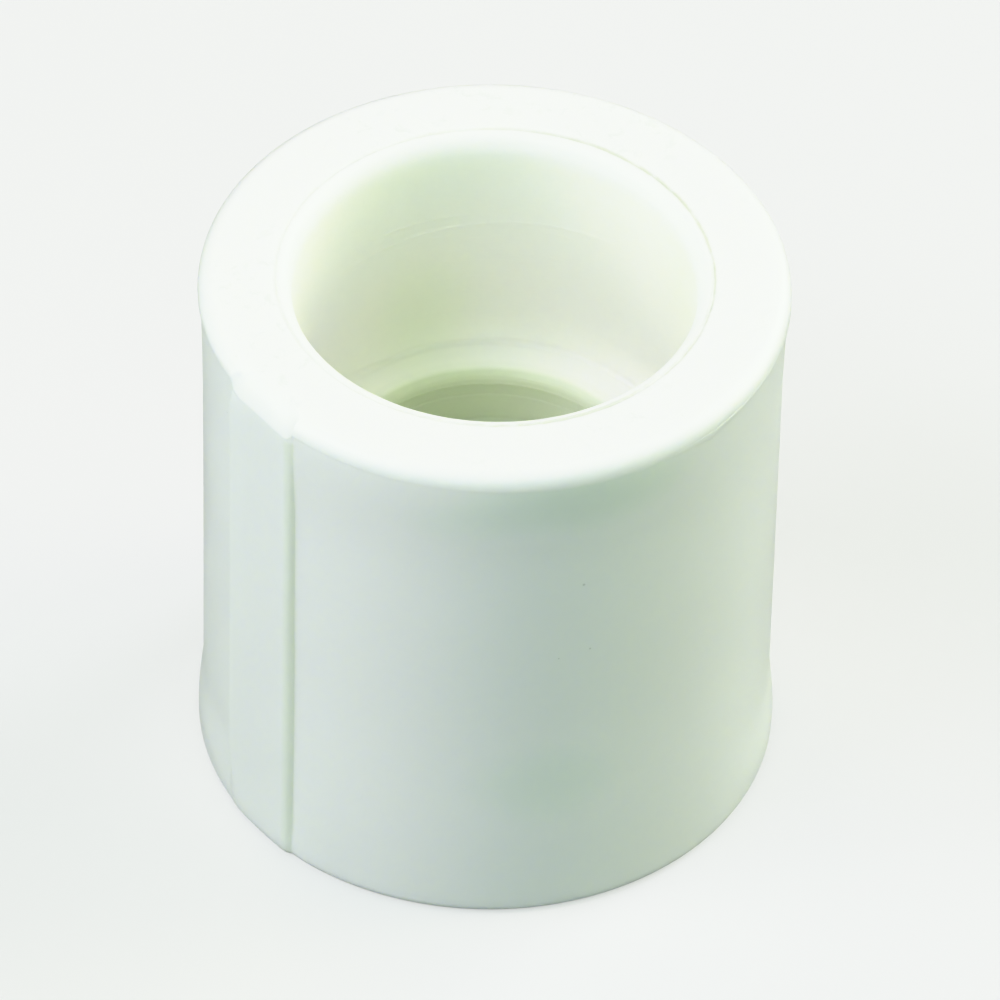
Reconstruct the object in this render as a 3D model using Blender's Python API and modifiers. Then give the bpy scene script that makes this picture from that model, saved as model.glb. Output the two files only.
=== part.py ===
"""Reducing coupling: one moulded plastic body with a pipe socket in each end.

The body is turned about +Z, with a flat pad down one side. The origin is the
centre of the small end's face, and +Z runs along the waterway to the large
socket's mouth. Sizes are in millimetres; the scene is in metres.
"""

import math

import bmesh
import bpy

MM = 0.001

# Whole body
HEIGHT = 36.0            # face to face
RIM_R = 17.6             # large end's rim, the widest turned radius
RIM_ROUND = 1.0          # quarter round between the end face and the rim
RIM_DEPTH = 1.1          # the rim's lower edge, below the end face
WALL_TOP_R = 17.3        # wall just under the rim
WALL_LOW_R = 17.24       # wall just above the flare at the small end
FOOT_R = 17.54           # small end, where the wall flares out a little
FOOT_TOP = 5.3           # height where the flare starts
FOOT_FULL = 1.2          # height where it is complete
FOOT_ROUND = 0.5         # rounding at the small end's outer edge

# Large socket, for a 25 mm pipe
BIG_MOUTH_R = 13.0       # outer edge of the rounded mouth
BIG_TOP_R = 12.05        # just inside the mouth
BIG_ROOT_R = 11.9        # at the pipe stop
BIG_DEPTH = 16.4         # face to pipe stop
BIG_ROUND = 1.35         # depth of the mouth's rounding
BIG_FILLET = 0.5         # fillet between socket wall and pipe stop
BIG_STOP_Z = HEIGHT - BIG_DEPTH

# Small socket, for a 20 mm pipe
SMALL_MOUTH_R = 10.4
SMALL_TOP_R = 9.6
SMALL_ROOT_R = 9.45
SMALL_DEPTH = 14.5
SMALL_ROUND = 0.8
SMALL_FILLET = 0.4

# Waterway
STOP_ROUND = 0.8         # rounded inner edge of the large pipe stop
BORE_R = 9.1             # bore under the large pipe stop
NECK_R = 6.9             # neck at the small pipe stop
NECK_STRAIGHT = 0.85     # length of the neck's own bore
NECK_SLOPE = 0.5         # rise of the neck's upper face out to the wider bore
NECK_TOP = SMALL_DEPTH + NECK_STRAIGHT

# Flat pad down one side of the wall
PAD_ANGLE = 51.5         # degrees from -Y towards -X
PAD_FACE = 17.5          # axis to the pad's face
PAD_WIDTH = 5.6
PAD_INNER = 14.8         # axis to the pad's back, buried in the wall
PAD_SHOULDER = 1.6       # the sloped top's lower edge, below the end face
PAD_SLOPE = 0.9          # width of the sloped top
PAD_BEND_IN = 0.35       # bend in the slope: share of its width in from the face
PAD_BEND_DEPTH = 0.5     # and its depth below the end face, as a share of the shoulder
PAD_GAP = 0.05           # pad's top below the end face
PAD_BOTTOM = 0.3

# Segment counts
TURN_STEPS = 96
ARC_STEPS = 6            # rim and mouth rounds
FLARE_STEPS = 5
FOOT_STEPS = 4
FILLET_STEPS = 3         # fillets, and the edge of the large pipe stop

MERGE_DIST = 1e-6        # metres


def arc(center_r, center_z, size_r, size_z, start, end, steps):
    """Points of an elliptic arc in (radius, height), from start to end in degrees."""
    points = []
    for i in range(steps + 1):
        angle = math.radians(start + (end - start) * i / steps)
        points.append((center_r + size_r * math.cos(angle),
                       center_z + size_z * math.sin(angle)))
    return points


def flare():
    """The S-shaped flare of the outer wall, top to bottom."""
    points = []
    for i in range(FLARE_STEPS + 1):
        t = i / FLARE_STEPS
        ease = t * t * (3.0 - 2.0 * t)
        points.append((WALL_LOW_R + (FOOT_R - WALL_LOW_R) * ease,
                       FOOT_TOP + (FOOT_FULL - FOOT_TOP) * t))
    return points


def outside():
    """Outer surface, from the large end's face down to the small end's."""
    rim_low = HEIGHT - RIM_DEPTH
    return [
        *arc(RIM_R - RIM_ROUND, HEIGHT - RIM_ROUND, RIM_ROUND, RIM_ROUND,
             90, 0, ARC_STEPS),
        (RIM_R, rim_low),
        (WALL_TOP_R, rim_low),
        *flare(),
        *arc(FOOT_R - FOOT_ROUND, FOOT_ROUND, FOOT_ROUND, FOOT_ROUND,
             0, -90, FOOT_STEPS),
    ]


def small_socket():
    """Small socket, from its mouth up to its pipe stop."""
    return [
        *arc(SMALL_MOUTH_R, SMALL_ROUND, SMALL_MOUTH_R - SMALL_TOP_R, SMALL_ROUND,
             -90, -180, ARC_STEPS),
        *arc(SMALL_ROOT_R - SMALL_FILLET, SMALL_DEPTH - SMALL_FILLET,
             SMALL_FILLET, SMALL_FILLET, 0, 90, FILLET_STEPS),
    ]


def waterway():
    """Neck and wider bore, from the small pipe stop up to the large one."""
    return [
        (NECK_R, SMALL_DEPTH),
        (NECK_R, NECK_TOP),
        (BORE_R, NECK_TOP + NECK_SLOPE),
        *arc(BORE_R + STOP_ROUND, BIG_STOP_Z - STOP_ROUND, STOP_ROUND, STOP_ROUND,
             180, 90, FILLET_STEPS),
    ]


def large_socket():
    """Large socket, from its pipe stop up to its mouth."""
    return [
        *arc(BIG_ROOT_R - BIG_FILLET, BIG_STOP_Z + BIG_FILLET, BIG_FILLET, BIG_FILLET,
             -90, 0, FILLET_STEPS),
        *arc(BIG_MOUTH_R, HEIGHT - BIG_ROUND, BIG_MOUTH_R - BIG_TOP_R, BIG_ROUND,
             180, 90, ARC_STEPS),
    ]


def clear_scene():
    for old in list(bpy.data.objects):
        bpy.data.objects.remove(old, do_unlink=True)


def new_collection(name):
    group = bpy.data.collections.new(name)
    bpy.context.scene.collection.children.link(group)
    return group


def white_plastic():
    material = bpy.data.materials.new("coupling_plastic")
    material.use_nodes = True
    inputs = material.node_tree.nodes["Principled BSDF"].inputs
    inputs["Base Color"].default_value = (0.90, 0.93, 0.89, 1.0)
    inputs["Roughness"].default_value = 0.38
    inputs["Metallic"].default_value = 0.0
    return material


def turned(name, profile, group):
    """A closed (radius, height) profile, turned about Z with a Screw modifier."""
    bm = bmesh.new()
    verts = [bm.verts.new((radius * MM, 0.0, z * MM)) for radius, z in profile]
    for i, vert in enumerate(verts):
        bm.edges.new((vert, verts[(i + 1) % len(verts)]))
    mesh = bpy.data.meshes.new(name)
    bm.to_mesh(mesh)
    bm.free()
    piece = bpy.data.objects.new(name, mesh)
    group.objects.link(piece)

    screw = piece.modifiers.new("turn", "SCREW")
    screw.axis = "Z"
    screw.angle = 2.0 * math.pi
    screw.screw_offset = 0.0
    screw.steps = TURN_STEPS
    screw.render_steps = TURN_STEPS
    screw.use_merge_vertices = True
    screw.merge_threshold = MERGE_DIST
    screw.use_smooth_shade = True
    return piece


def pad_curve(group):
    """The pad's outline, extruded to its width and placed on the wall."""
    pad_top = HEIGHT - PAD_GAP
    outline = [  # radius, height
        (PAD_INNER, PAD_BOTTOM),
        (PAD_FACE, PAD_BOTTOM),
        (PAD_FACE, HEIGHT - PAD_SHOULDER),
        (PAD_FACE - PAD_SLOPE * PAD_BEND_IN, HEIGHT - PAD_SHOULDER * PAD_BEND_DEPTH),
        (PAD_FACE - PAD_SLOPE, pad_top),
        (PAD_INNER, pad_top),
    ]
    curve = bpy.data.curves.new("pad_outline", "CURVE")
    curve.dimensions = "2D"
    curve.fill_mode = "BOTH"
    curve.extrude = PAD_WIDTH / 2.0 * MM  # to each side
    spline = curve.splines.new("POLY")
    spline.points.add(len(outline) - 1)
    for point, (radius, z) in zip(spline.points, outline):
        point.co = (radius * MM, z * MM, 0.0, 1.0)
    spline.use_cyclic_u = True
    solid = bpy.data.objects.new("pad_curve", curve)
    group.objects.link(solid)
    # Stand the outline up, its Y along +Z, then turn its X out to the pad's side.
    solid.rotation_euler = (math.pi / 2.0, 0.0, math.radians(270.0 - PAD_ANGLE))
    return solid


def pad_guide(group):
    """The pad as a closed mesh, hidden in renders because it only joins the body."""
    source = pad_curve(group)
    bpy.context.view_layer.update()
    graph = bpy.context.evaluated_depsgraph_get()
    mesh = bpy.data.meshes.new_from_object(source.evaluated_get(graph))
    # The curve's caps and sides come unjoined; weld them into one solid.
    bm = bmesh.new()
    bm.from_mesh(mesh)
    bmesh.ops.remove_doubles(bm, verts=bm.verts, dist=MERGE_DIST)
    bmesh.ops.recalc_face_normals(bm, faces=bm.faces)
    bm.to_mesh(mesh)
    bm.free()
    pad = bpy.data.objects.new("pad_guide", mesh)
    pad.matrix_world = source.matrix_world.copy()
    group.objects.link(pad)
    bpy.data.objects.remove(source, do_unlink=True)
    pad.hide_render = True
    pad.display_type = "WIRE"
    return pad


def main():
    clear_scene()
    parts = new_collection("reducing_coupling")
    guides = new_collection("guides")

    profile = outside() + small_socket() + waterway() + large_socket()
    body = turned("coupling_body", profile, parts)
    body.data.materials.append(white_plastic())

    join = body.modifiers.new("pad", "BOOLEAN")
    join.operation = "UNION"
    join.solver = "EXACT"
    join.object = pad_guide(guides)


main()
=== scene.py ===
"""Looks for the reducing coupling: one moulded polypropylene body in soft studio light.

The visible body is a fine turned mesh in the same frame as the CAD solid: metres, +Z up
along the waterway, origin at the centre of the small end's face.
"""

import math

import bpy
import numpy as np
from mathutils import Matrix, Vector


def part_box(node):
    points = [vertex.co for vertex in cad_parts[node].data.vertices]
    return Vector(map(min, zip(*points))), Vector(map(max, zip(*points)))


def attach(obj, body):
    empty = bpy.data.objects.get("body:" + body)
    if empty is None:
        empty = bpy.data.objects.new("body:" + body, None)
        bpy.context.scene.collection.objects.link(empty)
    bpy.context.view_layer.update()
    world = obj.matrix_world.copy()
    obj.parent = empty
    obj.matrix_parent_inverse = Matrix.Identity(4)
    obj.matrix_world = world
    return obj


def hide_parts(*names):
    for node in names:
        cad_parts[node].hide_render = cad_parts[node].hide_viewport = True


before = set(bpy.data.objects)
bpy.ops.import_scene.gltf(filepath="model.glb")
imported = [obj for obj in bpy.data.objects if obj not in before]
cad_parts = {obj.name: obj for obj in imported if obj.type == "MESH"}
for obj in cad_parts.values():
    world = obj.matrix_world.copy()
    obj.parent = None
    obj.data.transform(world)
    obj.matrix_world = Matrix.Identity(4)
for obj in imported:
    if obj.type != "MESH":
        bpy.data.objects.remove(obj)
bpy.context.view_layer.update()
node_lo, node_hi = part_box("coupling_body")

MM = 0.001
H = (node_hi.z - node_lo.z) / MM            # face to face
RIM = (node_hi.x - node_lo.x) / MM / 2.0    # rim radius

# ------------------------------------------------------------------ dimensions
RIM_ROUND = 1.0
RIM_EDGE = 1.04          # the rim's lower edge below the end face
WALL = RIM - 0.30
WALL_TOP = RIM - 0.21      # the wall just under the rim
WALL_LOW = RIM - 0.36
FOOT = RIM - 0.06
LINE_R = 13.0            # fine line round the large mouth
MOUTH_R = 12.05
MOUTH_DEPTH = 1.35
ROOT_R = 11.9
STOP = H - 16.4          # large pipe stop
STOP_ROUND = 0.8
BORE_R = 9.1
NECK_R = 6.9
SMALL_STOP = 14.5
SMALL_LINE_R = 10.4
SMALL_R = 9.6
SMALL_ROOT_R = 9.45

PAD_AT = math.radians(270.0 - 51.5)   # the pad's middle, as an angle from +X
PAD_D = RIM - 0.10                    # axis to the pad's face
PAD_RIGHT = math.radians(6.5)         # from the pad's middle to where its edges turn down
PAD_LEFT = math.radians(9.1)
PAD_EDGE_RIGHT = math.radians(3.60)   # a rounded edge on one side, a sharp step on the other
PAD_EDGE_LEFT = math.radians(0.7)
PAD_CREASE = 1.6


def smooth(t):
    t = np.clip(t, 0.0, 1.0)
    return t * t * (3.0 - 2.0 * t)


RIDGES = (
    (6.70, 0.82, 50.0, 142.0, 0.045, 0.085), (6.00, 0.10, 90.0, 134.0, 0.034, 0.070),
    (7.35, 0.60, 96.0, 146.0, 0.018, 0.060), (6.35, 0.30, 104.0, 148.0, 0.016, 0.055),
    (7.95, 0.45, 100.0, 150.0, 0.014, 0.060), (5.30, 0.20, 60.0, 120.0, 0.010, 0.060),
)


# ------------------------------------------------------------------ profile
# Each point is (r, z, pad_r, pad_z, flat, drop): radius and height on the turned body,
# then the same on the flat pad, where flat = 1 puts the point on the pad's plane.
# drop says how far the point follows the rim's uneven lower edge up and down.
def ring(points, r, z, pr=None, pz=None, flat=0.0, drop=0.0):
    points.append((r, z, r if pr is None else pr, z if pz is None else pz, flat, drop))


def arc(cx, cz, rx, rz, a0, a1, n):
    for i in range(n + 1):
        a = math.radians(a0 + (a1 - a0) * i / n)
        yield cx + rx * math.cos(a), cz + rz * math.sin(a)


def bezier(p0, p1, p2, t):
    u = 1.0 - t
    return (u * u * p0[0] + 2 * u * t * p1[0] + t * t * p2[0],
            u * u * p0[1] + 2 * u * t * p1[1] + t * t * p2[1])


def outline():
    p = []
    # the fine groove round the large mouth, then the end face
    ring(p, LINE_R - 0.060, H - 0.024)
    ring(p, LINE_R - 0.030, H - 0.050)
    ring(p, LINE_R + 0.010, H - 0.066)
    ring(p, LINE_R + 0.060, H - 0.050)
    ring(p, LINE_R + 0.110, H - 0.014)
    ring(p, LINE_R + 0.170, H)
    ring(p, LINE_R + 0.5, H)
    ring(p, RIM - RIM_ROUND - 0.35, H, RIM - 1.75, H)
    # rim rounding; on the pad it runs further down and ends in a crease
    p0, p1, p2 = (RIM - 1.45, H), (PAD_D - 0.62, H + 0.02), (PAD_D, H - PAD_CREASE + 0.03)
    n = 20
    for i, (r, z) in enumerate(arc(RIM - RIM_ROUND, H - RIM_ROUND, RIM_ROUND, RIM_ROUND, 90, 0, n)):
        pr, pz = bezier(p0, p1, p2, i / n)
        ring(p, r, z, pr, min(pz, H), smooth(i / n))
    # the rim's lower edge, the undercut and a fine fillet into the wall
    low = H - RIM_EDGE
    c = H - PAD_CREASE
    for k, d in enumerate((0.0, 0.05, 0.09, 0.13, 0.17, 0.22, 0.32, 0.50, 0.75, 0.95)):
        ring(p, RIM, low + 0.030 - 0.0012 * k, PAD_D + 0.004 * k / 9, c + 0.029 - 0.0014 * k, 1, d)
    ring(p, RIM, low + 0.015, PAD_D + 0.004, c + 0.015, 1, 1)
    ring(p, RIM - 0.008, low - 0.006, PAD_D + 0.004, c, 1, 1)
    ring(p, RIM - 0.030, low - 0.018, PAD_D + 0.002, c - 0.02, 1, 1)
    ring(p, RIM - 0.080, low - 0.024, PAD_D, c - 0.05, 1, 1)
    ring(p, WALL_TOP + 0.060, low - 0.030, PAD_D, c - 0.09, 1, 1)
    ring(p, WALL_TOP + 0.020, low - 0.050, PAD_D, c - 0.14, 1, 1)
    ring(p, WALL_TOP + 0.004, low - 0.090, PAD_D, c - 0.20, 1, 1)
    ring(p, WALL_TOP, low - 0.160, PAD_D, c - 0.30, 1, 1)
    # wall
    top, foot_top, foot_full = low - 0.4, 5.3, 1.2
    n = 34
    for i in range(n + 1):
        t = i / n
        z = top + (foot_top - top) * t
        ring(p, WALL + (WALL_LOW - WALL) * t + (WALL_TOP - WALL) * (1.0 - smooth((top - z) / 7.0)), z, PAD_D,
             min(z, c - 0.35 - (c - 0.35 - foot_top) * t), 1, 1.0 - smooth((top - z) / 3.5))
    n = 12
    for i in range(1, n + 1):
        t = i / n
        z = foot_top + (foot_full - foot_top) * t
        ring(p, WALL_LOW + (FOOT - WALL_LOW) * smooth(t), z, PAD_D + 0.09 * smooth(t), z, 1.0 - 0.4 * smooth(t))
    # rounded foot and the small end's face
    for r, z in arc(FOOT - 0.5, 0.5, 0.5, 0.5, 0, -90, 10):
        k = (FOOT - r) / 0.5
        ring(p, r, z, PAD_D + 0.09 - 0.50 * k, z, 0.6 - 0.3 * k)
    ring(p, FOOT - 0.8, 0.0)
    ring(p, SMALL_LINE_R + 2.5, 0.0)
    ring(p, SMALL_LINE_R + 0.5, 0.0)
    ring(p, SMALL_LINE_R + 0.09, 0.0)
    ring(p, SMALL_LINE_R + 0.055, 0.004)
    ring(p, SMALL_LINE_R + 0.025, 0.035)
    ring(p, SMALL_LINE_R - 0.005, 0.050)
    # small socket
    for r, z in arc(SMALL_LINE_R - 0.03, 0.84, SMALL_LINE_R - 0.03 - SMALL_R, 0.80, -90, -180, 12):
        ring(p, r, z)
    n = 14
    for i in range(1, n + 1):
        t = i / n
        ring(p, SMALL_R + (SMALL_ROOT_R - SMALL_R) * t, 0.84 + (SMALL_STOP - 0.4 - 0.84) * t)
    for r, z in arc(SMALL_ROOT_R - 0.4, SMALL_STOP - 0.4, 0.4, 0.4, 15, 90, 5):
        ring(p, r, z)
    ring(p, 8.2, SMALL_STOP)
    ring(p, 7.4, SMALL_STOP)
    for r, z in arc(NECK_R + 0.15, SMALL_STOP + 0.15, 0.15, 0.15, -90, -180, 5):
        ring(p, r, z)
    # neck and the slope up to the wider bore
    for r, z in arc(NECK_R + 0.3, SMALL_STOP + 0.75, 0.3, 0.3, 180, 105, 6):
        ring(p, r, z)
    ring(p, 7.9, SMALL_STOP + 1.13)
    ring(p, 8.6, SMALL_STOP + 1.25)
    for r, z in arc(BORE_R - 0.25, SMALL_STOP + 1.55, 0.25, 0.25, -75, 0, 5):
        ring(p, r, z)
    # bore under the large stop, with the two fine rings where the cores meet
    z0 = SMALL_STOP + 1.55
    for z, d in ((z0 + 0.5, 0.0), (z0 + 1.2, 0.0), (H - 18.25, 0.0), (H - 18.20, 0.012),
                 (H - 18.15, 0.045), (H - 18.09, 0.052), (H - 18.03, 0.038), (H - 17.9, 0.03),
                 (H - 17.6, 0.025), (H - 17.42, 0.025), (H - 17.36, 0.0), (H - 17.30, -0.035),
                 (H - 17.24, -0.02)):
        ring(p, BORE_R + d, z)
    for r, z in arc(BORE_R + STOP_ROUND, STOP - STOP_ROUND, STOP_ROUND, STOP_ROUND, 180, 90, 12):
        ring(p, r, z)
    # pipe stop, fillet and the socket's wall
    ring(p, 10.4, STOP)
    ring(p, 11.0, STOP)
    for r, z in arc(ROOT_R - 0.42, STOP + 0.42, 0.42, 0.42, -90, 0, 8):
        ring(p, r, z)
    wall0, wall1 = STOP + 0.42, H - MOUTH_DEPTH - 0.05
    fine0, fine1 = H - 7.9, H - 5.6
    heights = [wall0 + (fine0 - wall0) * i / 14 for i in range(1, 14)]
    heights += [fine0 + (fine1 - fine0) * i / 30 for i in range(31)]
    heights += [fine1 + (wall1 - fine1) * i / 8 for i in range(1, 9)]
    for z in heights:
        t = (z - wall0) / (wall1 - wall0)
        ring(p, ROOT_R + (MOUTH_R - ROOT_R) * t, z)
    # rounded mouth up to the fine line
    for i, (r, z) in enumerate(arc(LINE_R - 0.080, H - MOUTH_DEPTH - 0.012, LINE_R - 0.080 - MOUTH_R,
                                   MOUTH_DEPTH, 180, 90, 18)):
        if i:
            ring(p, r, z)
    return p


def supported(p):
    """Adds a point near the end of a long segment that meets a short one, so that smooth
    shading stays inside the small roundings, and splits segments longer than 1.2 mm."""
    out = []
    n = len(p)
    lengths = [math.hypot(p[(i + 1) % n][0] - p[i][0], p[(i + 1) % n][1] - p[i][1]) for i in range(n)]
    for i in range(n):
        a, b = np.array(p[i], float), np.array(p[(i + 1) % n], float)
        length = lengths[i]
        out.append(a)
        cuts = []
        if length > 0.35 and lengths[i - 1] <= 0.35:
            cuts.append(0.05 / length)
        if length > 0.35 and lengths[(i + 1) % n] <= 0.35:
            cuts.append(1.0 - 0.05 / length)
        if length > 1.2:
            m = int(length / 0.9)
            cuts += [k / m for k in range(1, m)]
        for c in sorted(cuts):
            out.append(a + (b - a) * c)
    return np.array(out)


def azimuths():
    """Even steps, and finer ones where the pad steps down to the wall and along the
    uneven stretch of the rim's edge."""
    a = list(np.radians(np.arange(0.0, 360.0, 2.0)))
    a += list(np.radians(np.arange(274.0, 328.0, 0.8)))
    a += list(PAD_AT + PAD_RIGHT + PAD_EDGE_RIGHT - np.radians(np.arange(-0.6, 4.01, 0.1)))
    a += list(PAD_AT - PAD_LEFT - PAD_EDGE_LEFT / 2 + np.radians(np.arange(-1.4, 1.41, 0.1)))
    a = np.unique(np.round(np.mod(a, 2 * math.pi), 6))
    keep = [a[0]]
    for x in a[1:]:
        if x - keep[-1] > math.radians(0.045):
            keep.append(x)
    return np.array(keep)


def waves(phi, z, seed, amount):
    """Slow, small unevenness of a moulded surface, in millimetres."""
    s = seed
    return amount * (0.45 * np.sin(2 * phi + 0.21 * z + s) + 0.30 * np.sin(3 * phi - 0.33 * z + 1.7 * s)
                     + 0.25 * np.sin(5 * phi + 0.52 * z + 2.9 * s))


def body_mesh():
    prof = supported(outline())
    phi = azimuths()
    ni, nj = len(prof), len(phi)
    d = (phi - PAD_AT + math.pi) % (2 * math.pi) - math.pi
    r, z, pr, pz, flat, drop = (prof[:, k][:, None] for k in range(6))
    # the pad's weight: 1 on its face, falling to 0 over its edges, which are narrow on the
    # wall and fade out more widely over the rim's rounding and at the foot
    low_left = (1.0 - smooth((z - 0.2) / 1.8)) * (r > 14.5)
    wide = 1.0 - flat
    edge_right = PAD_EDGE_RIGHT * (1.0 + 1.0 * wide * (z > 10.0))
    upper_left = 0.4 * smooth((z - (H - PAD_CREASE)) / 0.15) * (r > 14.5)
    edge_left = PAD_EDGE_LEFT * (1.0 + 7.0 * np.maximum(np.maximum(wide, low_left), upper_left))
    right = (d[None, :] - (PAD_RIGHT + PAD_EDGE_RIGHT) + edge_right) / edge_right
    left = (-d[None, :] - (PAD_LEFT + PAD_EDGE_LEFT) + edge_left) / edge_left
    w = np.where(d[None, :] > 0, 1.0 - np.clip(right, 0.0, 1.0) ** 3.6, 1.0 - smooth(left))
    secant = 1.0 / np.cos(np.clip(d, -0.3, 0.3))[None, :]
    rp = pr * (1.0 + flat * (secant - 1.0))
    rr = r * (1.0 - w) + rp * w
    zz = z * (1.0 - w) + pz * w
    ph = np.broadcast_to(phi[None, :], rr.shape)
    rb = np.broadcast_to(r, rr.shape)
    outer = rb > 14.5
    # moulded unevenness: the wall, the socket's wall and the rim's lower edge
    rr = rr + np.where(outer & (zz < H - 1.2) & (zz > 0.6), waves(ph, zz, 0.7, 0.012), 0.0)
    rr = rr + np.where((rb < 12.2) & (rb > 11.0) & (zz > STOP + 0.5) & (zz < H - 1.5),
                       waves(ph, zz, 2.1, 0.008), 0.0)
    # faint ridges on the far side of the socket's wall, slightly askew: depth, tilt,
    # from and to in degrees from +X, height, half width
    socket = (rb < 12.3) & (rb > 11.0) & (zz > STOP + 1.0)
    deg = np.degrees(ph)
    for depth, tilt, a0, a1, up, half in RIDGES:
        line = H - depth + tilt * np.cos(ph)
        fade = smooth((deg - a0) / 12.0) * (1.0 - smooth((deg - a1 + 12.0) / 12.0))
        rr = rr - np.where(socket, up * fade * np.exp(-((zz - line) / half) ** 2), 0.0)
    # the rim's lower edge sits lower towards one side and is a little ragged
    az = np.degrees((ph - 1.5 * math.pi + math.pi) % (2 * math.pi) - math.pi)
    lower = 0.34 * smooth((az - 36.0) / 14.0) * (1.0 - smooth((az - 95.0) / 40.0))
    rough = 0.5 + 5.0 * smooth((az - 8.0) / 8.0) * (1.0 - smooth((az - 44.0) / 12.0))
    ragged = rough * (0.037 + 0.006 * np.sin(7 * ph + 0.6) + 0.006 * np.sin(17 * ph + 2.0) + 0.011 * np.sin(41 * ph + 0.3)
                      + 0.007 * np.sin(83 * ph + 1.1) + 0.006 * np.sin(127 * ph + 2.4))
    # towards the front the wall comes up almost flush with the rim, and the flare at the
    # foot is long and slight; round the sides both are more marked
    flush = 0.80 * (1.0 - smooth((np.abs(az) - 38.0) / 18.0)) * (1.0 - smooth((H - RIM_EDGE - z) / 7.0))
    rr = rr + np.where((rb > WALL_LOW - 0.05) & (z < H - RIM_EDGE + 0.005), (RIM - rb) * flush, 0.0) * (1.0 - w)
    front = 1.0 - smooth((np.abs(az) - 50.0) / 25.0)
    rr = rr + np.where(outer & (z > 1.0) & (z < 16.5), (FOOT - WALL_LOW) * front
                       * (smooth((16.0 - z) / 14.8) - smooth((5.3 - z) / 4.1)), 0.0) * (1.0 - w)
    # the flare stays back from the pad's step, so the step runs on down to the foot
    flare = (FOOT - WALL_LOW) * np.maximum(front * smooth((16.0 - z) / 14.8), smooth((5.3 - z) / 4.1))
    beside = np.degrees(d[None, :] - PAD_RIGHT - PAD_EDGE_RIGHT)
    beside = np.exp(-(beside / 2.2) ** 2) * (0.25 + 0.75 * smooth((z - 0.4) / 2.6))
    rr = rr - np.where(outer & (rb > 16.0) & (z < 16.5), 0.65 * flare * beside, 0.0) * (1.0 - w)
    zz = zz - drop * (lower + ragged) * (1.0 - w)
    # a fine crease between the rounding and the narrow band that this leaves
    rr = rr - np.where(rb > WALL + 0.2, 0.16 * lower * np.exp(-((drop - 0.13) / 0.06) ** 2), 0.0) * (1.0 - w)
    x, y = rr * np.cos(ph), rr * np.sin(ph)
    co = np.stack([x, y, zz], -1).reshape(-1, 3) * MM
    i = np.arange(ni)[:, None]
    j = np.arange(nj)[None, :]
    i1, j1 = (i + 1) % ni, (j + 1) % nj
    quads = np.stack(np.broadcast_arrays(i * nj + j, i1 * nj + j, i1 * nj + j1, i * nj + j1), -1).reshape(-1, 4)
    me = bpy.data.meshes.new("coupling_moulding")
    me.from_pydata(co.tolist(), [], quads.tolist())
    me.validate()
    me.update()
    me.shade_smooth()
    return me


body = bpy.data.objects.new("coupling_moulding", body_mesh())
bpy.context.scene.collection.objects.link(body)


# ------------------------------------------------------------------ material
class Nodes:
    """Short helpers for building a node tree."""

    def __init__(self, tree):
        self.t = tree

    def new(self, kind, **settings):
        n = self.t.nodes.new(kind)
        for k, v in settings.items():
            setattr(n, k, v)
        return n

    def put(self, socket, value):
        if hasattr(value, "is_output"):
            self.t.links.new(value, socket)
        elif value is not None:
            socket.default_value = value

    def math(self, op, a, b=None, c=None, clamp=False):
        n = self.new("ShaderNodeMath", operation=op, use_clamp=clamp)
        for s, v in zip(n.inputs, (a, b, c)):
            self.put(s, v)
        return n.outputs[0]

    def vec(self, op, a, b=None, scale=None):
        n = self.new("ShaderNodeVectorMath", operation=op)
        self.put(n.inputs[0], a)
        self.put(n.inputs[1], b)
        if scale is not None:
            self.put(n.inputs["Scale"], scale)
        return n.outputs["Value"] if op in ("LENGTH", "DISTANCE", "DOT_PRODUCT") else n.outputs["Vector"]

    def noise(self, vector, scale, detail=2.0, rough=0.5, distortion=0.0):
        n = self.new("ShaderNodeTexNoise", noise_dimensions="3D")
        self.put(n.inputs["Vector"], vector)
        n.inputs["Scale"].default_value = scale
        n.inputs["Detail"].default_value = detail
        n.inputs["Roughness"].default_value = rough
        n.inputs["Distortion"].default_value = distortion
        return n.outputs["Fac"]

    def span(self, value, a, b, lo=0.0, hi=1.0, kind="SMOOTHSTEP"):
        n = self.new("ShaderNodeMapRange", interpolation_type=kind)
        for s, v in zip(n.inputs, (value, a, b, lo, hi)):
            self.put(s, v)
        return n.outputs["Result"]

    def mix(self, fac, a, b, blend="MIX"):
        n = self.new("ShaderNodeMix", data_type="RGBA", blend_type=blend)
        self.put(n.inputs["Factor"], fac)
        self.put(n.inputs[6], a)
        self.put(n.inputs[7], b)
        return n.outputs[2]


OUTSIDE = (0.940, 0.958, 0.935, 1.0)
# a yellower copy of the plastic for the inside of the sockets: painted shade, standing in for the tint of light
# bouncing round inside them
INSIDE_SHADE_TINT = (0.948, 0.962, 0.885, 1.0)
# tints for painted shade (the darker one) and painted light (the paler one) on the large socket's wall
PAINTED_SHADE_TINT = (0.880, 0.905, 0.790, 1.0)
PAINTED_LIGHT_TINT = (0.990, 0.993, 0.950, 1.0)
SOCKET_LIGHT_AND_SHADE = (  # painted shade and painted light on the large socket's wall: place, half width, half height
    ((-10.9, 4.8, 25.0), 5.5, 8.0, PAINTED_LIGHT_TINT, 0.9), ((10.9, 4.2, 31.5), 5.5, 6.5, PAINTED_SHADE_TINT, 0.5),
    ((-4.3, 11.1, 22.6), 5.0, 7.0, PAINTED_SHADE_TINT, 0.95),
)
# a dark olive colour for the waterway: painted shade for the depth of the bore
BORE_SHADE = (0.715, 0.772, 0.612, 1.0)
BORE_LIGHT_AND_SHADE = (  # painted shade on the left of the waterway and painted light on its right: place, size, tint
    ((-3.5, 8.4, 18.4), 7.0, (0.655, 0.712, 0.540, 1.0)), ((6.3, 6.6, 17.6), 5.0, (0.765, 0.815, 0.690, 1.0)),
)
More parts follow.
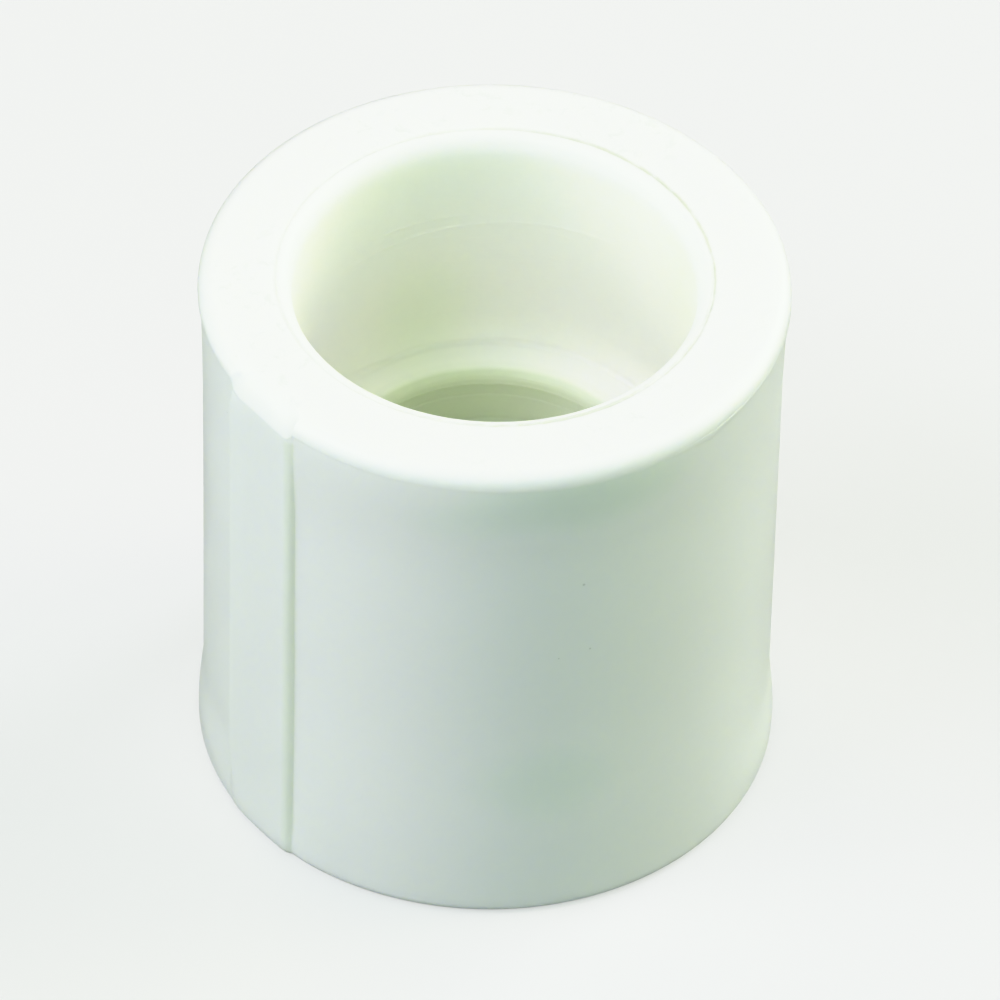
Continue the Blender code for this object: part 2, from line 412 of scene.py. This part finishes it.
# darker patches on the wall: the two just under the rim are partly painted shade from the rim and partly grime
PATCHES = (  # degrees from -Y towards +X, height, half width, half height, strength
    (18.0, 33.5, 10.0, 3.4, 0.62), (12.0, 10.4, 6.5, 4.5, 0.34), (-6.0, 32.0, 6.0, 2.6, 0.25),
)
SPECKS = (  # degrees from -Y towards +X, height, size: small dark inclusions in the wall
    (19.0, 26.47, 0.13), (20.7, 21.07, 0.10), (14.3, 20.75, 0.08), (33.3, 7.16, 0.11),
    (-64.1, 31.5, 0.10), (131.0, 24.2, 0.09), (167.0, 11.4, 0.12), (228.0, 18.9, 0.08),
)


def polypropylene():
    m = bpy.data.materials.new("white_polypropylene")
    m.use_nodes = True
    t = m.node_tree
    n = Nodes(t)
    bsdf = t.nodes["Principled BSDF"]
    out = t.nodes["Material Output"]
    pos = n.vec("SCALE", n.new("ShaderNodeTexCoord").outputs["Object"], scale=1000.0)
    sep = n.new("ShaderNodeSeparateXYZ")
    n.put(sep.inputs[0], pos)
    x, y, z = sep.outputs
    rad = n.math("SQRT", n.math("ADD", n.math("MULTIPLY", x, x), n.math("MULTIPLY", y, y)))
    ang = n.math("ARCTAN2", y, x)

    # 1 inside the sockets and the waterway, 0 on the outer faces
    inside = n.math("MULTIPLY", n.span(rad, 12.95, 12.25), n.span(z, H - 0.7, H - 2.2))
    # 1 in the waterway between the two pipe stops
    bore = n.math("MULTIPLY", n.span(rad, 10.45, 9.65),
                  n.math("MULTIPLY", n.span(z, STOP + 0.06, STOP - 0.16), n.span(z, SMALL_STOP - 0.2, SMALL_STOP + 0.2)))

    # colour: slow mottling of the resin, specks
    slow = n.noise(pos, 0.09, 2.0, 0.5)
    fine = n.noise(pos, 1.3, 3.0, 0.6)
    # the inside tint, then painted shade and painted light in patches on the large socket's wall
    socket_shading = INSIDE_SHADE_TINT
    for at, wide, high, tint, depth in SOCKET_LIGHT_AND_SHADE:
        off = n.vec("SUBTRACT", pos, at)
        near = n.span(n.vec("LENGTH", n.vec("MULTIPLY", off, (1.0 / wide, 1.0 / wide, 1.0 / high))), 1.0, 0.05)
        socket_shading = n.mix(n.math("MULTIPLY", near, depth), socket_shading, tint)
    # painted shade in the waterway, darker towards its left and lighter towards its right
    bore_shading = BORE_SHADE
    for at, wide, tint in BORE_LIGHT_AND_SHADE:
        near = n.span(n.vec("DISTANCE", pos, at), wide, 0.5)
        bore_shading = n.mix(n.math("MULTIPLY", near, 0.85), bore_shading, tint)
    color = n.mix(bore, n.mix(inside, OUTSIDE, socket_shading), bore_shading)
    color = n.mix(n.span(slow, 0.35, 0.68, 0.0, 0.35), color, n.mix(1.0, color, (0.955, 0.972, 0.962, 1.0), "MULTIPLY"))
    color = n.mix(n.span(fine, 0.35, 0.75, 0.0, 0.10), color, n.mix(1.0, color, (0.93, 0.94, 0.93, 1.0), "MULTIPLY"))
    # soft darker patches on the wall, the two just under the rim partly painted shade from the rim and partly grime,
    # the third lower down; then painted shade in the fine groove round the mouth and in the pad's step
    for deg, height, wide, high, depth in PATCHES:
        a = math.radians(deg)
        off = n.vec("SUBTRACT", pos, (WALL * math.sin(a), -WALL * math.cos(a), height))
        near = n.span(n.vec("LENGTH", n.vec("MULTIPLY", off, (1.0 / wide, 1.0 / wide, 1.0 / high))), 1.0, 0.1)
        near = n.math("MULTIPLY", near, n.math("MULTIPLY", n.span(rad, 16.5, 17.0), n.span(z, H - 0.9, H - 1.3)))
        color = n.mix(n.math("MULTIPLY", near, depth), color, n.mix(1.0, color, (0.80, 0.84, 0.80, 1.0), "MULTIPLY"))
    # painted shade in the fine groove round the mouth, stronger towards the right and the near side
    wander = n.math("ADD", rad, n.span(n.noise(pos, 0.8, 2.0, 0.5), 0.3, 0.7, -0.03, 0.03))
    line = n.math("MULTIPLY", n.span(n.math("ABSOLUTE", n.math("SUBTRACT", wander, LINE_R)), 0.240, 0.030), n.span(z, H - 0.4, H - 0.2))
    line = n.math("MULTIPLY", line, n.span(n.noise(pos, 1.1, 3.0, 0.6), 0.25, 0.60, 0.55, 1.0))
    line = n.math("MULTIPLY", line, n.math("ADD", n.span(x, -3.0, 8.0, 0.40, 0.90), n.span(y, 2.0, 11.0, 0.0, 0.2)))
    line = n.math("MULTIPLY", line, n.span(y, -9.0, -12.5, 1.0, 1.7))
    color = n.mix(line, color, n.mix(1.0, color, (0.775, 0.79, 0.725, 1.0), "MULTIPLY"))
    # painted shade in the step down from the pad on its right side
    step_shade = n.math("ABSOLUTE", n.math("ADD", n.math("MULTIPLY", ang, 180.0 / math.pi), 132.2))
    step_shade = n.math("MULTIPLY", n.span(step_shade, 1.9, 0.4), n.math("MULTIPLY", n.span(rad, 16.9, 17.1), n.span(z, H - 1.5, H - 1.9)))
    color = n.mix(n.math("MULTIPLY", step_shade, 0.9), color, n.mix(1.0, color, (0.915, 0.930, 0.865, 1.0), "MULTIPLY"))
    dark = None
    for deg, height, size in SPECKS:
        a = math.radians(deg)
        at = (WALL * math.sin(a), -WALL * math.cos(a), height)
        d = n.vec("DISTANCE", pos, at)
        s = n.span(d, size, size * 0.35)
        dark = s if dark is None else n.math("MAXIMUM", dark, s)
    color = n.mix(n.math("MULTIPLY", dark, 0.35), color, (0.30, 0.33, 0.28, 1.0))
    face = n.math("MULTIPLY", n.span(z, H - 0.12, H - 0.02), n.span(rad, 13.0, 13.2))
    rub = n.noise(n.vec("MULTIPLY", pos, (1.0, 1.0, 0.2)), 0.9, 5.0, 0.7, 0.6)
    scuff = n.math("MULTIPLY", n.span(rub, 0.545, 0.66), n.math("MULTIPLY", face, n.span(n.noise(pos, 0.11, 2.0, 0.5), 0.42, 0.60)))
    color = n.mix(n.math("MULTIPLY", scuff, 0.62), color, n.mix(1.0, color, (0.84, 0.87, 0.84, 1.0), "MULTIPLY"))
    n.put(bsdf.inputs["Base Color"], color)

    # satin surface: slightly uneven gloss, duller where tools have rubbed the end face
    rough = n.math("ADD", n.span(slow, 0.3, 0.7, 0.34, 0.44), n.span(fine, 0.3, 0.7, -0.02, 0.03))
    rough = n.math("ADD", rough, n.math("MULTIPLY", face, n.span(rub, 0.5, 0.72, 0.0, 0.16)))
    rough = n.math("ADD", rough, n.math("MULTIPLY", inside, 0.05))
    n.put(bsdf.inputs["Roughness"], rough)
    bsdf.inputs["Metallic"].default_value = 0.0
    bsdf.inputs["IOR"].default_value = 1.49
    bsdf.inputs["Subsurface Weight"].default_value = 1.0
    bsdf.inputs["Subsurface Radius"].default_value = (1.0, 1.0, 0.85)
    bsdf.inputs["Subsurface Scale"].default_value = 0.0013
    bsdf.inputs["Subsurface Anisotropy"].default_value = 0.0

    # fine relief, in metres: moulded orange peel, tool rings in the sockets, scuffs on the face
    peel = n.noise(pos, 1.6, 3.0, 0.55)
    grain = n.noise(pos, 9.0, 2.0, 0.5)
    rings_at = n.new("ShaderNodeCombineXYZ")
    n.put(rings_at.inputs[0], n.math("MULTIPLY", n.math("SINE", ang), 1.2))
    n.put(rings_at.inputs[1], n.math("MULTIPLY", n.math("COSINE", ang), 1.2))
    n.put(rings_at.inputs[2], n.math("MULTIPLY", z, 6.0))
    rings = n.noise(rings_at.outputs[0], 1.0, 3.0, 0.6)
    draw_at = n.new("ShaderNodeCombineXYZ")
    n.put(draw_at.inputs[0], n.math("MULTIPLY", n.math("SINE", ang), 42.0))
    n.put(draw_at.inputs[1], n.math("MULTIPLY", n.math("COSINE", ang), 42.0))
    n.put(draw_at.inputs[2], n.math("MULTIPLY", z, 0.05))
    draw = n.noise(draw_at.outputs[0], 1.0, 2.0, 0.5)
    outer = n.math("MULTIPLY", n.span(rad, 16.9, 17.1), n.span(z, H - 1.0, H - 1.6))
    height = n.math("MULTIPLY", n.math("SUBTRACT", peel, 0.5), 0.0000055)
    height = n.math("ADD", height, n.math("MULTIPLY", n.math("SUBTRACT", grain, 0.5), 0.0000012))
    height = n.math("ADD", height, n.math("MULTIPLY", n.math("MULTIPLY", n.math("SUBTRACT", rings, 0.5), inside), 0.000024))
    height = n.math("ADD", height, n.math("MULTIPLY", n.math("MULTIPLY", n.math("SUBTRACT", draw, 0.5), outer), 0.0000022))
    height = n.math("ADD", height, n.math("MULTIPLY", n.math("MULTIPLY", n.span(rub, 0.58, 0.75), face), -0.000010))
    bump = n.new("ShaderNodeBump")
    bump.inputs["Strength"].default_value = 1.0
    bump.inputs["Distance"].default_value = 1.0
    n.put(bump.inputs["Height"], height)
    n.put(bsdf.inputs["Normal"], bump.outputs[0])
    t.links.new(bsdf.outputs[0], out.inputs["Surface"])
    return m


plastic = polypropylene()
body.data.materials.append(plastic)
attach(body, "root")
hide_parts("coupling_body")


# ------------------------------------------------------------------ floor, light, camera
def floor_material():
    m = bpy.data.materials.new("pale_floor")
    m.use_nodes = True
    t = m.node_tree
    n = Nodes(t)
    bsdf = t.nodes["Principled BSDF"]
    out = t.nodes["Material Output"]
    bsdf.inputs["Roughness"].default_value = 0.7
    bsdf.inputs["Specular IOR Level"].default_value = 0.2
    bsdf.inputs["Emission Color"].default_value = (1.0, 1.0, 1.0, 1.0)
    path = n.new("ShaderNodeLightPath")
    # painted reflection: glossy rays see the floor nearly black, which darkens the body's edges where they reflect it
    n.put(bsdf.inputs["Base Color"], n.mix(path.outputs["Is Glossy Ray"], FLOOR_COLOR, (0.05, 0.055, 0.055, 1.0)))
    n.put(bsdf.inputs["Emission Strength"], n.math("MULTIPLY", path.outputs["Is Camera Ray"], FLOOR_GLOW))
    clear = n.new("ShaderNodeBsdfTransparent")
    mix = n.new("ShaderNodeMixShader")
    # clear from below, and in a ring under the small end's face, so that daylight reaches it
    geometry = n.new("ShaderNodeNewGeometry")
    sep = n.new("ShaderNodeSeparateXYZ")
    n.put(sep.inputs[0], geometry.outputs["Position"])
    x, y, _ = sep.outputs
    rad = n.math("SQRT", n.math("ADD", n.math("MULTIPLY", x, x), n.math("MULTIPLY", y, y)))
    under = n.math("MULTIPLY", n.math("GREATER_THAN", rad, 0.00975), n.math("LESS_THAN", rad, 0.0170))
    n.put(mix.inputs[0], n.math("MAXIMUM", geometry.outputs["Backfacing"], under))
    t.links.new(bsdf.outputs[0], mix.inputs[1])
    t.links.new(clear.outputs[0], mix.inputs[2])
    t.links.new(mix.outputs[0], out.inputs["Surface"])
    return m


FLOOR_COLOR = (0.33, 0.335, 0.335, 1.0)
FLOOR_GLOW = 0.53
bpy.ops.mesh.primitive_plane_add(size=3.0, location=(0.0, 0.0, -0.00005))
floor = bpy.context.object
floor.name = "floor"
floor.data.materials.append(floor_material())

AIM = Vector((0.0, 0.0, 0.018))
# a ring of soft lamps: azimuth from -Y towards +X, elevation, watts of red, green and blue
LIGHTS = (
    (-150, 50, 0.49, 0.43, 0.20), (-80, 50, 0.61, 0.59, 0.67), (-60, 50, 0.61, 0.55, 0.72),
    (-40, 50, 0.34, 0.32, 0.40), (-20, 50, 0.19, 0.21, 0.20), (0, 50, 0.17, 0.22, 0.16),
    (30, 50, 0.12, 0.18, 0.10), (60, 50, 0.01, 0.06, 0.01), (90, 50, 0.58, 0.51, 0.40),
    (120, 50, 0.72, 0.51, 0.84), (-110, 20, 0.01, 0.17, 0.06), (-80, 20, 0.90, 0.95, 0.75),
    (-50, 20, 0.23, 0.29, 0.32), (-20, 20, 0.14, 0.17, 0.13), (30, 20, 0.11, 0.18, 0.13),
    (70, 20, 0.09, 0.20, 0.14), (100, 20, 1.15, 1.13, 0.83), (130, 20, 0.98, 1.25, 1.08),
)
LAMP_DISTANCE, LAMP_SIZE = 0.60, 0.26
WORLD = (0.062, 0.102, 0.091)
BELOW = (0.50, 0.53, 0.50)     # reaches only the underside, through the floor's clear ring


def softbox(name, direction, distance, size, watts, color):
    az, el = math.radians(direction[0]), math.radians(direction[1])
    back = Vector((math.sin(az) * math.cos(el), -math.cos(az) * math.cos(el), math.sin(el)))
    data = bpy.data.lights.new(name, "AREA")
    data.shape = "DISK"
    data.size = size
    data.energy = watts
    data.color = color
    o = bpy.data.objects.new(name, data)
    o.location = AIM + back * distance
    o.rotation_mode = "QUATERNION"
    o.rotation_quaternion = (-back).to_track_quat("-Z", "Y")
    bpy.context.scene.collection.objects.link(o)
    return o


for az, el, *rgb in LIGHTS:
    watts = max(rgb)
    softbox("lamp_%d_%d" % (az, el), (az, el), LAMP_DISTANCE, LAMP_SIZE, watts,
            tuple(c / watts for c in rgb))

scene = bpy.context.scene
world = bpy.data.worlds.new("studio")
world.use_nodes = True
nodes = Nodes(world.node_tree)
sep = nodes.new("ShaderNodeSeparateXYZ")
nodes.put(sep.inputs[0], nodes.new("ShaderNodeTexCoord").outputs["Generated"])
nodes.put(world.node_tree.nodes["Background"].inputs["Color"],
          nodes.mix(nodes.math("LESS_THAN", sep.outputs[2], -0.01), (*WORLD, 1.0), (*BELOW, 1.0)))
world.node_tree.nodes["Background"].inputs["Strength"].default_value = 1.0
scene.world = world

scene.view_settings.view_transform = "Standard"
scene.view_settings.look = "None"
scene.view_settings.exposure = 0.0
scene.view_settings.gamma = 1.0

# soft shoulder: straight up to SHOULDER, then each channel rolls off towards its own top
SHOULDER, TOPS, WHITE = 0.80, (0.956, 0.988, 0.950), 1.8
scene.view_settings.use_curve_mapping = True
curves = scene.view_settings.curve_mapping
curves.use_clip = True
curves.clip_min_x, curves.clip_min_y, curves.clip_max_x, curves.clip_max_y = 0.0, 0.0, 1.0, 1.0
curves.white_level = (WHITE, WHITE, WHITE)
for k, top in enumerate(TOPS):
    c = curves.curves[k]
    c.points[0].location = (0.0, 0.0)
    room = top - SHOULDER
    for x in (0.15, 0.30, 0.45, 0.60, 0.70, 0.76, 0.80, 0.84, 0.88, 0.92, 0.97, 1.03, 1.10, 1.20, 1.35, 1.55, WHITE):
        y = x if x <= SHOULDER else SHOULDER + room * (1.0 - math.exp(-(x - SHOULDER) / room))
        if x == WHITE:
            c.points[-1].location = (1.0, y)
        else:
            c.points.new(x / WHITE, y)
curves.update()
scene.cycles.max_bounces = 12
scene.cycles.diffuse_bounces = 8

# camera: distance in millimetres from the top face's centre, angles in degrees
CAM_D, CAM_EL, CAM_PITCH, CAM_YAW, CAM_ROLL, CAM_F = 700.0, 42.501, 43.59, 0.067, 1.317, 11827.994
el, pit, yaw, roll = (math.radians(a) for a in (CAM_EL, CAM_PITCH, CAM_YAW, CAM_ROLL))
forward = Vector((math.sin(yaw) * math.cos(pit), math.cos(yaw) * math.cos(pit), -math.sin(pit)))
side0 = forward.cross(Vector((0, 0, 1))).normalized()
up0 = side0.cross(forward)
side = side0 * math.cos(roll) + up0 * math.sin(roll)
up = up0 * math.cos(roll) - side0 * math.sin(roll)
cam_data = bpy.data.cameras.new("camera")
cam_data.sensor_width = 36.0
cam_data.lens = CAM_F * 36.0 / 1000.0
cam_data.clip_start, cam_data.clip_end = 0.05, 20.0
cam = bpy.data.objects.new("camera", cam_data)
basis = Matrix((side, up, -forward)).transposed().to_4x4()
basis.translation = Vector((0.0, -CAM_D * math.cos(el), H + CAM_D * math.sin(el))) * MM
cam.matrix_world = basis
scene.collection.objects.link(cam)
scene.camera = cam
